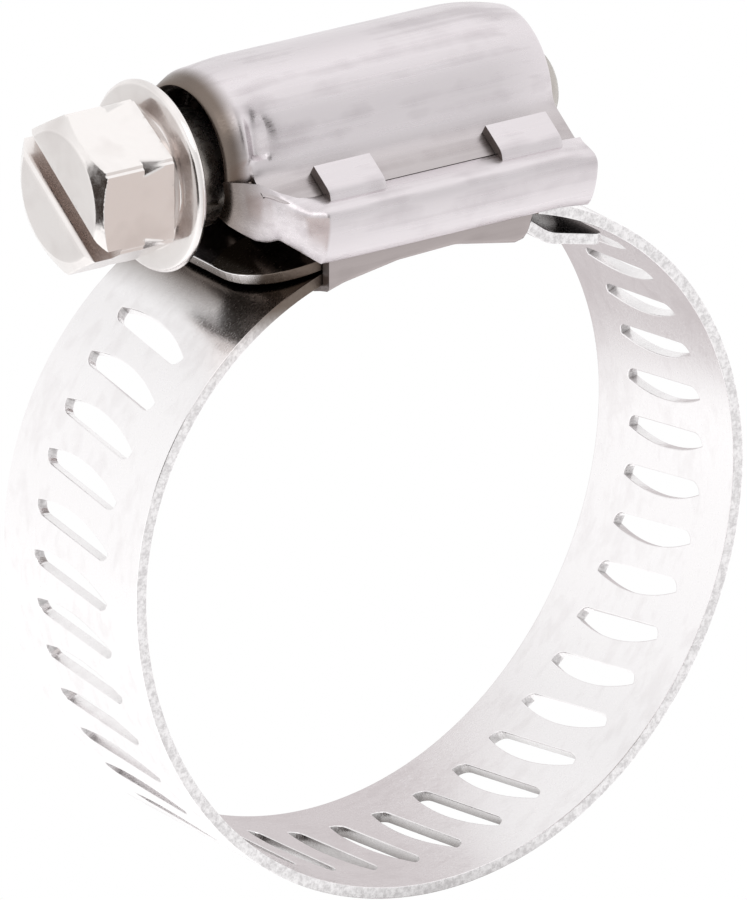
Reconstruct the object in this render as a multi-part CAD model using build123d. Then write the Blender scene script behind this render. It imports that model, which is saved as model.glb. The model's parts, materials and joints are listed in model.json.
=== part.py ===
"""Worm-drive hose clamp, size 16: a perforated band, a two-piece housing and a worm screw.

Millimetres. The origin is the middle of the round space for the hose. +X runs along the screw from
its head to its tip, +Y along the axis of the hose, and +Z points up at the housing.
"""

from build123d import *
from dataclasses import dataclass
from math import acos, atan2, cos, degrees, radians, sin, sqrt, tan
import os

# ---- band ----------------------------------------------------------------------------------
BAND_WIDTH = 12.7
BAND_T = 0.64
RING_HALF_WIDTH = 19.42  # centre of the ring to the middle of the band, at 3 and 9 o'clock
BOTTOM_BORE_R = 18.36  # inner radius of the true round arc at the foot of the ring
BOTTOM_Z = -18.2  # lowest point of the ring's inner face
BOTTOM_HALF_ANGLE = 45.0  # the true round arc reaches this far to each side of the foot
LAYER_GAP = 0.09  # between the fixed layer and the sliding layer of the band
LINK_GAP = 0.04  # between one stiff length of band and the next
OPEN_PIVOT_GAP = 0.12  # where the closed loop of lengths is left unjoined
FIRST_CUT_X = 6.0  # the first cut is by the slot that stands nearest here
LENGTH_PITCHES = (1, 2, 3, 3, 3, 3, 3, 3, 3, 3, 3, 3)  # slot pitches spanned by each length
OPEN_CUT = 7  # the loop is left unjoined at this cut

# ---- band inside the housing ---------------------------------------------------------------
GUIDE_R = 30.0  # the sliding layer runs on this arc, measured at the middle of the band
SLIDING_TOP_Z = 20.04  # outer face of the sliding layer, under the middle of the screw
TAIL_TIP_X = -11.2
TAIL_CORNER_R = 4.6
TONGUE_START_X = 4.3
TONGUE_BEND_R = 3.0
TONGUE_DIP = 28.5
TONGUE_DROP = 0.9
TONGUE_RISE = 24.0
TONGUE_REST = 3.2

# ---- slots in the band ---------------------------------------------------------------------
PITCH = 2.8  # of the slots and of the screw's thread
SLOT_LENGTH = 6.9
SLOT_STRAIGHT = 5.6
SLOT_WIDTH = 1.3
SLOT_CORNER_R = 0.2
SLOT_SLANT = 7.8
FIRST_SLOT_ANGLE = 135.1  # from +X, seen with the head on the left
TAIL_MARGIN = 2.6  # plain band left beyond the last slot

# ---- screw ---------------------------------------------------------------------------------
SCREW_Z = 23.3
THREAD_R = 3.9
CORE_R = 2.75
CREST = 0.55
ROOT = 1.15
THREAD_START_X = -10.6
THREAD_END_X = 8.6
TIP_X = 10.6
TIP_R = 2.0
NECK_R = 3.0
NECK_X = -14.1
SHOULDER_R = 4.3
FLANGE_R = 5.25
FLANGE_BACK_X = -14.3
FLANGE_RIM = 0.55
HEAD_FOOT_X = -15.4
HEAD_END_X = -20.4
HEX_ACROSS_FLATS = 7.94
HEAD_CONE_R = 4.0
HEAD_CHAMFER = 0.5
FLANGE_FOOT = 0.6  # the flange's cone starts this far inside the hexagon's foot
THREAD_MARGIN = 0.5  # from each end of the thread to the end of the core
RIDGE_ROOT = 0.25  # the ridge is rooted this deep in the core
DRIVER_SLOT_WIDTH = 1.3
DRIVER_SLOT_DEPTH = 1.4
DRIVER_SLOT_TILT = 35.0

# ---- cap -----------------------------------------------------------------------------------
SHEET_T = 0.6
BARREL_Z = 24.1
BARREL_R = 4.65
CAP_FRONT_X = -12.45
CAP_BACK_X = 8.7
CAP_FLANGE_X = -11.1
MOUTH_R = 3.1
MOUTH_WALL = 0.7
COLLAR_R = 4.3
FLANGE_SLOPE = 35.0
FLANGE_EDGE_Y = 6.5
FLANGE_EDGE_Z = 22.85
FLANGE_RUN = 2.25  # from the flange's edge up its slope to the barrel
BARREL_START_ANGLE = -2.0

# ---- saddle --------------------------------------------------------------------------------
SKIRT_FRONT_X = -8.4
SKIRT_BACK_X = 8.8
SKIRT_FOOT = (7.15, 19.25)
SKIRT_BELLY_MIDDLE = (8.05, 20.35)
SKIRT_BELLY = (8.2, 21.5)
SKIRT_TOP = (6.95, 22.35)
WALL_Y = 7.0
WALL_T = 0.58
WALL_TOP_Z = 19.8
WALL_FRONT_X = -7.8
WALL_BACK_X = 5.4
WALL_BACK_FOOT_X = 4.6
WALL_BACK_DROP = 1.0  # the wall's back end leans in between this far below its top and its foot
PLATE_CLEARANCE = 0.02
PLATE_DEPTH = 2.0  # stock for the plate, before the round space under it is cut away
SADDLE_BORE_R = 18.36
SADDLE_TOP_Z = 18.2  # highest point of the saddle's underside
SADDLE_FLAT_X = -3.5  # the underside runs straight on from here to its front end
TAB_SPANS = ((-7.8, -4.2), (3.3, 7.2))
TAB_REACH_Y = 5.65
TAB_FIT = 0.02
TAB_FOLD_R = 0.33

# ---- working values ------------------------------------------------------------------------
SEARCH_STEP = 1e-6  # lengths below this count as nothing
BIG = 80.0  # wider than the whole clamp, for blanks and cutters


@dataclass
class Arc:
    """A stretch of the band's middle line, travelled clockwise from angle `start` to `end`."""

    x: float
    z: float
    radius: float
    start: float
    end: float

    @property
    def length(self):
        return self.radius * radians(self.start - self.end)

    def angle(self, distance):
        return self.start - degrees(distance / self.radius)


def along(angle):
    return cos(radians(angle)), sin(radians(angle))


GUIDE_Z = SLIDING_TOP_Z - BAND_T / 2 - GUIDE_R
FIXED_R = GUIDE_R - BAND_T - LAYER_GAP


def band_path():
    """The arcs of the band from its tail tip, round the ring clockwise, to the root of its tongue.

    Each arc is tangent to the next. The foot is a true round arc, a flatter arc on each side
    reaches the ring's half width, and a rounder one runs up and meets the guide in the housing.
    """
    foot_r = BOTTOM_BORE_R + BAND_T / 2
    foot_z = BOTTOM_Z + BOTTOM_BORE_R
    out, down = sin(radians(BOTTOM_HALF_ANGLE)), cos(radians(BOTTOM_HALF_ANGLE))
    side_r = (RING_HALF_WIDTH - foot_r * out) / (1 - out)
    side_x = RING_HALF_WIDTH - side_r
    side_z = foot_z + (side_r - foot_r) * down
    rise = side_z - GUIDE_Z

    def shoulder(guide_r):
        """Radius, centre offset and meeting angle of the arc from the side to the guide."""
        top = guide_r**2 - RING_HALF_WIDTH**2 - rise**2
        radius = top / (2 * (guide_r - RING_HALF_WIDTH))
        offset = RING_HALF_WIDTH - radius
        return radius, offset, degrees(atan2(rise, offset))

    right_r, right_x, right_meet = shoulder(GUIDE_R)
    left_r, left_x, left_meet = shoulder(FIXED_R)
    tail = degrees(acos(TAIL_TIP_X / GUIDE_R))
    tongue = degrees(acos(TONGUE_START_X / FIXED_R))
    foot_end = BOTTOM_HALF_ANGLE - 90
    return [
        Arc(0, GUIDE_Z, GUIDE_R, tail, right_meet),
        Arc(right_x, side_z, right_r, right_meet, 0),
        Arc(side_x, side_z, side_r, 0, foot_end),
        Arc(0, foot_z, foot_r, foot_end, -180 - foot_end),
        Arc(-side_x, side_z, side_r, -180 - foot_end, -180),
        Arc(-left_x, side_z, left_r, -180, -180 - left_meet),
        Arc(0, GUIDE_Z, FIXED_R, -180 - left_meet, tongue - 360),
    ]


PATH = band_path()
PATH_LENGTH = sum(arc.length for arc in PATH)


def place(distance):
    """Point on the middle line at this distance from the tail tip, and the outward angle there."""
    left = distance
    for arc in PATH:
        if left <= arc.length or arc is PATH[-1]:
            break
        left -= arc.length
    angle = arc.angle(left)
    x, z = along(angle)
    return (arc.x + arc.radius * x, arc.z + arc.radius * z), angle


def strip_face(start, end, outer=BAND_T / 2, inner=-BAND_T / 2):
    """A face in X and Z that follows the middle line, between two offsets from it."""
    outside, inside = [], []
    passed = 0.0
    for arc in PATH:
        low, high = max(start - passed, 0), min(end - passed, arc.length)
        passed += arc.length
        if high - low < SEARCH_STEP:
            continue
        a, b = arc.angle(low), arc.angle(high)
        outside.append(CenterArc((arc.x, arc.z), arc.radius + outer, a, b - a))
        inside.append(CenterArc((arc.x, arc.z), arc.radius + inner, a, b - a))
    ends = [Line(outside[0] @ 0, inside[0] @ 0), Line(outside[-1] @ 1, inside[-1] @ 1)]
    return make_face(outside + inside + ends)


def across(face, width=BAND_WIDTH):
    """Extrude a face drawn in X and Z to both sides of the middle of the band."""
    return extrude(Plane.XZ * face, width / 2, both=True)


def slot_face():
    """Half-moon slot: straight on the side towards the tail, bowed on the other."""
    half, straight, x = SLOT_LENGTH / 2, SLOT_STRAIGHT / 2, SLOT_WIDTH / 2
    tip = -x + (half - straight)
    bow = ThreePointArc((tip, half), (x, 0), (tip, -half))
    edges = [
        Line((-x, -straight), (-x, straight)),
        Line((-x, straight), (tip, half)),
        bow,
        Line((tip, -half), (-x, -straight)),
    ]
    face = make_face(edges)
    return Rot(0, 0, -SLOT_SLANT) * fillet(face.vertices(), SLOT_CORNER_R)


def first_slot():
    """Distance of the first slot along the middle line, by halving the left side of the ring."""
    low, high = PATH_LENGTH / 2, PATH_LENGTH
    while high - low > SEARCH_STEP:
        middle = (low + high) / 2
        (x, z), _ = place(middle)
        if degrees(atan2(z, x)) % 360 > FIRST_SLOT_ANGLE:
            low = middle
        else:
            high = middle
    return low


def slot_places():
    """Distances of the slots along the middle line, from the tail round to the first one."""
    first = first_slot()
    count = int((first - TAIL_MARGIN) / PITCH) + 1
    return [first - PITCH * i for i in range(count)][::-1]


SLOTS = slot_places()


def slot_nearest(x):
    """Distance of the slot in the sliding layer that stands nearest this X."""
    sliding = [distance for distance in SLOTS if distance < PATH[0].length + PITCH]
    return min(sliding, key=lambda distance: abs(place(distance)[0][0] - x))


def punched(solid, start, end):
    """Cut the slots that lie between two distances."""
    cutter = extrude(slot_face(), BAND_T, both=True)
    for distance in SLOTS:
        if start < distance < end:
            (x, z), angle = place(distance)
            out_x, out_z = along(angle)
            frame = Plane(origin=(x, 0, z), x_dir=(out_z, 0, -out_x), z_dir=(out_x, 0, out_z))
            solid -= frame * cutter
    return solid


def cut_places():
    """Distances at which the band is parted, midway between slots, from the tail end round."""
    cuts = [slot_nearest(FIRST_CUT_X) + PITCH / 2]
    for pitches in LENGTH_PITCHES:
        cuts.append(cuts[-1] + pitches * PITCH)
    return cuts


CUTS = cut_places()


def band_tail():
    """Free end of the band: rounded tip, under the screw, out to the first cut."""
    end = CUTS[0] - LINK_GAP / 2
    solid = across(strip_face(0, end))
    blank = Rectangle(BIG, BAND_WIDTH, align=(Align.MIN, Align.CENTER))
    blank = Pos(TAIL_TIP_X, 0) * fillet(blank.vertices().group_by(Axis.X)[0], TAIL_CORNER_R)
    solid &= extrude(blank, 2 * GUIDE_R)
    return punched(solid, 0, end)


def band_length(index):
    """One stiff length of the ring, between two cuts."""
    gaps = [OPEN_PIVOT_GAP if cut == OPEN_CUT else LINK_GAP for cut in (index, index + 1)]
    start, end = CUTS[index] + gaps[0] / 2, CUTS[index + 1] - gaps[1] / 2
    return punched(across(strip_face(start, end)), start, end)


def band_fixed_end():
    """From the last cut into the housing, under the sliding layer, to the root of the tongue."""
    start = CUTS[-1] + LINK_GAP / 2
    return punched(across(strip_face(start, PATH_LENGTH - LINK_GAP / 2)), start, PATH_LENGTH)


def band_tongue():
    """The end of the fixed layer, which dips out of the housing and lies along the band."""
    (x, z), angle = place(PATH_LENGTH)
    heading = along(angle - 90)
    dip = JernArc((x, z), heading, TONGUE_BEND_R, -TONGUE_DIP)
    drop = Line(dip @ 1, dip @ 1 + (dip % 1) * TONGUE_DROP)
    rise = JernArc(drop @ 1, drop % 1, TONGUE_BEND_R, TONGUE_RISE)
    rest = Line(rise @ 1, rise @ 1 + (rise % 1) * TONGUE_REST)
    middle = Curve() + [dip, drop, rise, rest]
    return across(trace(middle, BAND_T))


def on_screw_axis(face):
    """Revolve a half section, drawn as distance along X and radius, about the screw's axis."""
    return revolve(Plane.XZ * (Pos(0, SCREW_Z) * face), Axis((0, 0, SCREW_Z), (1, 0, 0)))


def screw_thread(crest_x):
    """Helical ridge whose crest crosses the foot of the screw at X = crest_x."""
    turns = int((THREAD_END_X - THREAD_START_X) / PITCH) + 3
    first = crest_x - PITCH * (int((crest_x - THREAD_START_X) / PITCH) + 1)
    buried = CORE_R - RIDGE_ROOT
    slope = (ROOT - CREST) / 2 / (THREAD_R - CORE_R)
    half_root = CREST / 2 + slope * (THREAD_R - buried)
    profile = Polyline(
        (buried, -half_root),
        (THREAD_R, -CREST / 2),
        (THREAD_R, CREST / 2),
        (buried, half_root),
        close=True,
    )
    helix = Helix(PITCH, PITCH * turns, CORE_R)
    ridge = sweep(Plane.XZ * make_face(profile), path=helix, is_frenet=True)
    # the helix starts at its own +X and climbs +Z: lay it along the screw, starting at the foot
    ridge = Pos(first, 0, SCREW_Z) * Rot(0, 90, 0) * ridge
    span = THREAD_END_X - THREAD_START_X
    sleeve = Plane.YZ.offset(THREAD_START_X) * Pos(0, SCREW_Z) * Circle(THREAD_R + 1)
    return ridge & extrude(sleeve, span)


def screw():
    """Slotted hexagon washer-head worm screw."""
    crest_x = place(slot_nearest(0))[0][0]
    body = Polyline(
        (HEAD_FOOT_X - FLANGE_FOOT, 0),
        (HEAD_FOOT_X - FLANGE_FOOT, HEX_ACROSS_FLATS / 2),
        (HEAD_FOOT_X, HEX_ACROSS_FLATS / 2 + FLANGE_FOOT / 2),
        (FLANGE_BACK_X - FLANGE_RIM, FLANGE_R),
        (FLANGE_BACK_X, FLANGE_R),
        (FLANGE_BACK_X, SHOULDER_R),
        (NECK_X, SHOULDER_R),
        (NECK_X, NECK_R),
        (THREAD_START_X - THREAD_MARGIN, NECK_R),
        (THREAD_START_X, CORE_R),
        (THREAD_END_X + THREAD_MARGIN, CORE_R),
        (TIP_X, TIP_R),
        (TIP_X, 0),
        close=True,
    )
    solid = on_screw_axis(make_face(body))
    hexagon = Rot(0, 0, 90) * RegularPolygon(HEX_ACROSS_FLATS / 2, 6, major_radius=False)
    hexagon = Plane.YZ.offset(HEAD_END_X) * Pos(0, SCREW_Z) * hexagon
    head = extrude(hexagon, HEAD_FOOT_X - HEAD_END_X)
    corner = HEX_ACROSS_FLATS / sqrt(3)
    cone = Polyline(
        (HEAD_END_X, 0),
        (HEAD_END_X, HEAD_CONE_R - HEAD_CHAMFER / 3),
        (HEAD_END_X + HEAD_CHAMFER, corner),
        (HEAD_FOOT_X, corner),
        (HEAD_FOOT_X, 0),
        close=True,
    )
    head &= on_screw_axis(make_face(cone))
    slot = Rot(0, 0, DRIVER_SLOT_TILT) * Rectangle(4 * corner, DRIVER_SLOT_WIDTH)
    slot = Plane.YZ.offset(HEAD_END_X) * Pos(0, SCREW_Z) * slot
    head -= extrude(slot, DRIVER_SLOT_DEPTH)
    return solid + head + screw_thread(crest_x)


def mirrored(solid):
    return solid + mirror(solid, Plane.XZ)


def run_x(face, start, end):
    """Extrude a face drawn in Y and Z along X."""
    return extrude(Plane.YZ.offset(start) * face, end - start)


def flange_line_z(y):
    """Height of the upper face of the cap's flange."""
    return FLANGE_EDGE_Z + (FLANGE_EDGE_Y - y) * tan(radians(FLANGE_SLOPE))


def cap():
    """Upper housing: a barrel over the screw, a flange along each side and a mouth for the neck."""
    half = SHEET_T / 2
    lean, fall = sin(radians(FLANGE_SLOPE)), cos(radians(FLANGE_SLOPE))
    radius = BARREL_R - half
    edge = (FLANGE_EDGE_Y - half * lean, FLANGE_EDGE_Z - half * fall)
    eave = (edge[0] - FLANGE_RUN * fall, edge[1] + FLANGE_RUN * lean)
    shell = run_x(trace(barrel_line(radius), SHEET_T), CAP_FRONT_X, CAP_BACK_X)
    flange = run_x(trace(Curve() + [Line(edge, eave)], SHEET_T), CAP_FLANGE_X, CAP_BACK_X)
    shell += mirrored(flange)
    inside = Pos(0, BARREL_Z) * Circle(BARREL_R - SHEET_T)
    shell -= run_x(inside, CAP_FRONT_X + MOUTH_WALL, CAP_BACK_X)
    front = Pos(0, BARREL_Z) * Circle(BARREL_R) + Pos(0, SCREW_Z) * Circle(COLLAR_R)
    front -= Pos(0, SCREW_Z) * Circle(MOUTH_R)
    return shell + run_x(front, CAP_FRONT_X, CAP_FRONT_X + MOUTH_WALL)


def barrel_line(radius):
    """Middle line of the barrel's sheet, from one flange over the top to the other."""
    y, z = (radius * part for part in along(BARREL_START_ANGLE))
    return Curve() + [ThreePointArc((y, BARREL_Z + z), (0, BARREL_Z + radius), (-y, BARREL_Z + z))]


def saddle_hollow():
    """The round space under the saddle, straight on from SADDLE_FLAT_X to the front end."""
    centre_z = SADDLE_TOP_Z - SADDLE_BORE_R
    height = sqrt(SADDLE_BORE_R**2 - SADDLE_FLAT_X**2)
    flat_z = centre_z + height
    front_z = flat_z + (SADDLE_FLAT_X - SKIRT_FRONT_X) * SADDLE_FLAT_X / height
    round_part = Pos(0, centre_z) * Circle(SADDLE_BORE_R)
    behind = Pos(SADDLE_FLAT_X, 0) * Rectangle(BIG, BIG, align=(Align.MIN, Align.CENTER))
    wedge = make_face(
        Polyline(
            (SADDLE_FLAT_X, 0),
            (SADDLE_FLAT_X, flat_z),
            (SKIRT_FRONT_X, front_z),
            (SKIRT_FRONT_X, 0),
            close=True,
        )
    )
    return across((round_part & behind) + wedge, BIG)


def wall_outline():
    """Outline in X and Z of the plate and its walls, seen from the side."""
    outline = make_face(
        Polyline(
            (WALL_FRONT_X, 0),
            (WALL_FRONT_X, WALL_TOP_Z),
            (WALL_BACK_X, WALL_TOP_Z),
            (WALL_BACK_X, WALL_TOP_Z - WALL_BACK_DROP),
            (WALL_BACK_FOOT_X, SADDLE_TOP_Z - WALL_BACK_DROP),
            (WALL_BACK_FOOT_X, 0),
            close=True,
        )
    )
    return across(outline, 2 * WALL_Y)


def tab(span):
    """One tab, folded inwards over the cap's flange."""
    rise = (SHEET_T / 2 + TAB_FIT) / cos(radians(FLANGE_SLOPE))
    corner_y = FLANGE_EDGE_Y + SHEET_T / 2 + TAB_FIT
    fold = FilletPolyline(
        (SKIRT_TOP[0], SKIRT_TOP[1] - SHEET_T / 2),
        (corner_y, flange_line_z(corner_y) + rise),
        (TAB_REACH_Y, flange_line_z(TAB_REACH_Y) + rise),
        radius=TAB_FOLD_R,
    )
    return run_x(trace(fold, SHEET_T), *span)


def saddle():
    """Lower housing: plate under the band, side walls, bulged skirts and four folded tabs."""
    belly = ThreePointArc(SKIRT_FOOT, SKIRT_BELLY_MIDDLE, SKIRT_BELLY)
    brow = Line(belly @ 1, SKIRT_TOP)
    side = run_x(trace(Curve() + [belly, brow], SHEET_T), SKIRT_FRONT_X, SKIRT_BACK_X)
    for span in TAB_SPANS:
        side += tab(span)
    hollow = saddle_hollow()
    inner = WALL_Y - WALL_T
    wall = wall_outline() - across(Rectangle(BIG, BIG), 2 * inner)
    plate_top = -BAND_T / 2 - PLATE_CLEARANCE
    band_run = strip_face(CUTS[-1], PATH_LENGTH, plate_top, plate_top - PLATE_DEPTH)
    plate = across(band_run, 2 * inner) & wall_outline()
    return mirrored(side) + (wall - hollow) + (plate - hollow)


def make_parts():
    parts = {"band_tail": band_tail()}
    for number in range(len(CUTS) - 1):
        parts[f"band_length_{number + 1:02d}"] = band_length(number)
    parts["band_fixed_end"] = band_fixed_end()
    parts["band_tongue"] = band_tongue()
    parts["screw"] = screw()
    parts["cap"] = cap()
    parts["saddle"] = saddle()
    return parts


if __name__ == "__main__":
    os.makedirs("parts", exist_ok=True)
    for name, solid in make_parts().items():
        export_step(solid, f"parts/{name}.step")
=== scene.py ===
"""Looks of a worm-drive hose clamp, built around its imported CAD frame. Everything is in metres."""

import json
from math import acos, atan2, ceil, cos, degrees, exp, pi, radians, sin, sqrt, tan

import bmesh
import bpy
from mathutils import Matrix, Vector


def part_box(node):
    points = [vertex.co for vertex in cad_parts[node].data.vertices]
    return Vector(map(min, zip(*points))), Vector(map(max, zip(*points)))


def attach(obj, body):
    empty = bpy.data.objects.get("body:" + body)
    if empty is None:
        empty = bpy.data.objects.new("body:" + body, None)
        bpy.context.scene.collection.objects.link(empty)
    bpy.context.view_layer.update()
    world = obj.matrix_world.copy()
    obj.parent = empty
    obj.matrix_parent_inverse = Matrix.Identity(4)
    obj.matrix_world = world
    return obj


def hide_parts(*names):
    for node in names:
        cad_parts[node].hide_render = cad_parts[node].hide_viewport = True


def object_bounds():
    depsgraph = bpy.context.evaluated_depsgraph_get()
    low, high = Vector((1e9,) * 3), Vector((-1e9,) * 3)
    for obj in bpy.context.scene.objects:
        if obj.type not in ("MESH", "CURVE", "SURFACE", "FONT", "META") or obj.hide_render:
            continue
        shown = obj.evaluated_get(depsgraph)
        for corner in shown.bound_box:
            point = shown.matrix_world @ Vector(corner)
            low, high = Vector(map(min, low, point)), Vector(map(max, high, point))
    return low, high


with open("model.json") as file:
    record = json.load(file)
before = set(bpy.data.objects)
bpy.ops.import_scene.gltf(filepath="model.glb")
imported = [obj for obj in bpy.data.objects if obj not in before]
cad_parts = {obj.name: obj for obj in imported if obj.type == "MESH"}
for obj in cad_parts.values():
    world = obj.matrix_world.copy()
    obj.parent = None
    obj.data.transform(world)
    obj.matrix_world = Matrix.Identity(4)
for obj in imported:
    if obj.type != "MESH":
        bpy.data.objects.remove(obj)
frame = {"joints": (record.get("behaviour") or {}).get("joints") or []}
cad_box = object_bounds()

MM = 0.001

# ---- the band, in millimetres ----------------------------------------------------------------
DATUM_Z = 0.9  # heights below are measured from the ring's widest level, this far above the origin
BAND_T = 0.64
RING_HALF_WIDTH = 19.42
BOTTOM_BORE_R = 18.36
BOTTOM_Z = -19.1
BOTTOM_HALF_ANGLE = 45.0
LAYER_GAP = 0.09
GUIDE_R = 30.0
SLIDING_TOP_Z = 19.14
TAIL_TIP_X = -11.2
TONGUE_START_X = 4.3
TONGUE_BEND_R = 3.0
TONGUE_DIP = 28.5
TONGUE_DROP = 0.9
TONGUE_RISE = 24.0
TONGUE_REST = 3.2
PITCH = 2.8
SLOT_LENGTH = 6.9
SLOT_STRAIGHT = 5.6
SLOT_WIDTH = 1.3
SLOT_SLANT = 7.8
FIRST_SLOT_ANGLE = 137.0  # round the ring from +X
TAIL_MARGIN = 2.6  # plain band left beyond the last slot
TAIL_CORNER_R = 4.6
TONGUE_CORNER_R = 0.9
LENGTH_PITCHES = (1, 2) + (3,) * 10  # slot pitches spanned by each length between hinges
OPEN_END = 1.0  # length added past a cut, then trimmed off square

# ---- the screw's axis, in the same millimetres -----------------------------------------------
SCREW_Z = 22.4


# ---- mesh helpers ----------------------------------------------------------------------------


def new_object(name, mesh, body, material, stands_for=()):
    """A named piece that rides on a body, with its finish and the CAD nodes it stands for."""
    piece = bpy.data.objects.new(name, mesh)
    bpy.context.scene.collection.objects.link(piece)
    mesh.materials.clear()
    mesh.materials.append(material)
    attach(piece, body)
    if stands_for:
        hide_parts(*stands_for)
    return piece


def smooth(mesh, angle):
    """Smooth shading, with edges sharper than the angle left hard."""
    for polygon in mesh.polygons:
        polygon.use_smooth = True
    mesh.set_sharp_from_angle(angle=radians(angle))


def weighted(piece):
    """Let large faces set the shading, so that a narrow bevel doesn't tint its neighbours."""
    modifier = piece.modifiers.new("weighted normals", "WEIGHTED_NORMAL")
    modifier.keep_sharp = True
    modifier.weight = 100


def bevelled(piece, width_mm, segments, angle):
    """Round the edges that are sharper than the angle."""
    modifier = piece.modifiers.new("edge rounding", "BEVEL")
    modifier.width = width_mm * MM
    modifier.segments = segments
    modifier.limit_method = "ANGLE"
    modifier.angle_limit = radians(angle)
    modifier.harden_normals = False


def spot(x, y, z):
    """A point of the frame, in metres, from millimetres with the height above the datum."""
    return Vector((x, y, z + DATUM_Z)) * MM


def grid_mesh(name, rows, tube=False):
    """A quad mesh through rows of points in millimetres; in a tube each row closes on itself."""
    mesh = bpy.data.meshes.new(name)
    width = len(rows[0])
    points = [spot(*point) for row in rows for point in row]
    faces = []
    for i in range(len(rows) - 1):
        here, there = i * width, (i + 1) * width
        for j in range(width if tube else width - 1):
            beside = (j + 1) % width
            faces.append((here + j, here + beside, there + beside, there + j))
    mesh.from_pydata(points, [], faces)
    mesh.validate()
    return mesh


def close_ends(mesh, in_triangles=False):
    """Fill the open ends of a tube and face it outwards."""
    shape = bmesh.new()
    shape.from_mesh(mesh)
    bmesh.ops.holes_fill(shape, edges=shape.edges)
    bmesh.ops.recalc_face_normals(shape, faces=shape.faces)
    if in_triangles:
        bmesh.ops.triangulate(shape, faces=[f for f in shape.faces if len(f.verts) > 4])
    shape.to_mesh(mesh)
    shape.free()


def clamped(value):
    return min(1.0, max(0.0, value))


def smoothstep(low, high, value):
    t = clamped((value - low) / (high - low))
    return t * t * (3 - 2 * t)


def mix(a, b, t):
    """The point a share t of the way from a to b."""
    return tuple(x + (y - x) * t for x, y in zip(a, b))


def bell(value, middle, width):
    """A smooth bump of height 1."""
    return exp(-(((value - middle) / width) ** 2))


# ---- materials -------------------------------------------------------------------------------


class Nodes:
    """Shorthand for building a material's node tree."""

    def __init__(self, name):
        self.material = bpy.data.materials.new(name)
        self.material.use_nodes = True
        self.tree = self.material.node_tree
        self.tree.nodes.clear()

    def add(self, kind, **settings):
        """A new node, with each setting given to the input or the property of that name."""
        node = self.tree.nodes.new(kind)
        for key, value in settings.items():
            if key in node.inputs:
                node.inputs[key].default_value = value
            else:
                setattr(node, key, value)
        return node

    def link(self, source, output, target, entry):
        self.tree.links.new(source.outputs[output], target.inputs[entry])

    def ramp(self, source, output, stops):
        """A colour ramp; each stop is a position and a grey or a colour."""
        node = self.add("ShaderNodeValToRGB")
        ramp = node.color_ramp
        while len(ramp.elements) < len(stops):
            ramp.elements.new(0.5)
        for element, (position, value) in zip(ramp.elements, stops):
            element.position = position
            element.color = (value, value, value, 1) if isinstance(value, float) else (*value, 1)
        self.link(source, output, node, "Fac")
        return node

    def noise(self, vector, scale, detail, roughness=0.55):
        node = self.add("ShaderNodeTexNoise", Scale=scale, Detail=detail, Roughness=roughness)
        self.link(vector, 0, node, "Vector")
        return node

    def stretched(self, place, scale):
        """A piece's own coordinates, scaled along each axis."""
        node = self.add("ShaderNodeMapping")
        node.inputs["Scale"].default_value = scale
        self.link(place, "Object", node, "Vector")
        return node

    def mixed(self, factor, output, a, b):
        """Two colours, each a triple or a node's output, mixed by a factor."""
        node = self.add("ShaderNodeMix", data_type="RGBA")
        for entry, value in (("A", a), ("B", b)):
            socket = next(i for i in node.inputs if i.name == entry and i.type == "RGBA")
            if len(value) == 3:
                socket.default_value = (*value, 1)
            else:
                self.tree.links.new(self.colour_output(*value), socket)
        self.tree.links.new(factor.outputs[output], node.inputs[0])
        return node

    @staticmethod
    def colour_output(node, name):
        """The output of this name that carries a colour: a mix node has one of each kind."""
        return next(o for o in node.outputs if o.name == name and o.type == "RGBA")

    def maths(self, operation, a, b):
        """A sum or product of two values, each a number or a node and its output."""
        node = self.add("ShaderNodeMath", operation=operation)
        for entry, value in enumerate((a, b)):
            if isinstance(value, tuple):
                self.link(value[0], value[1], node, entry)
            else:
                node.inputs[entry].default_value = value
        return node

    def finish(self, shader, output):
        """End the tree with this shader, and give the material."""
        end = self.add("ShaderNodeOutputMaterial")
        self.link(shader, output, end, "Surface")
        return self.material


# noise scales, per metre
PATCH_SCALE = 260.0
FINE_SCALE = 9000.0
TORN_SCALE = 3800.0
BROAD_SHARE = 7  # broad streaks are this many times coarser than the grain
# in metres
HOLLOW_REACH = 0.005
GRAIN_HEIGHT = 0.00002
TORN_HEIGHT = 0.00004
# colours
EDGE_DARK = (0.70, 0.68, 0.685)
# painted shade for faces that look along the screw
END_DARK = (0.11, 0.09, 0.08)
# painted shade, laid by place on some parts
PAINTED_SHADE_TONE = (0.15, 0.115, 0.09)
# painted shade that hollows and gaps go towards
DUSK = (0.055, 0.040, 0.032)


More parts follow.
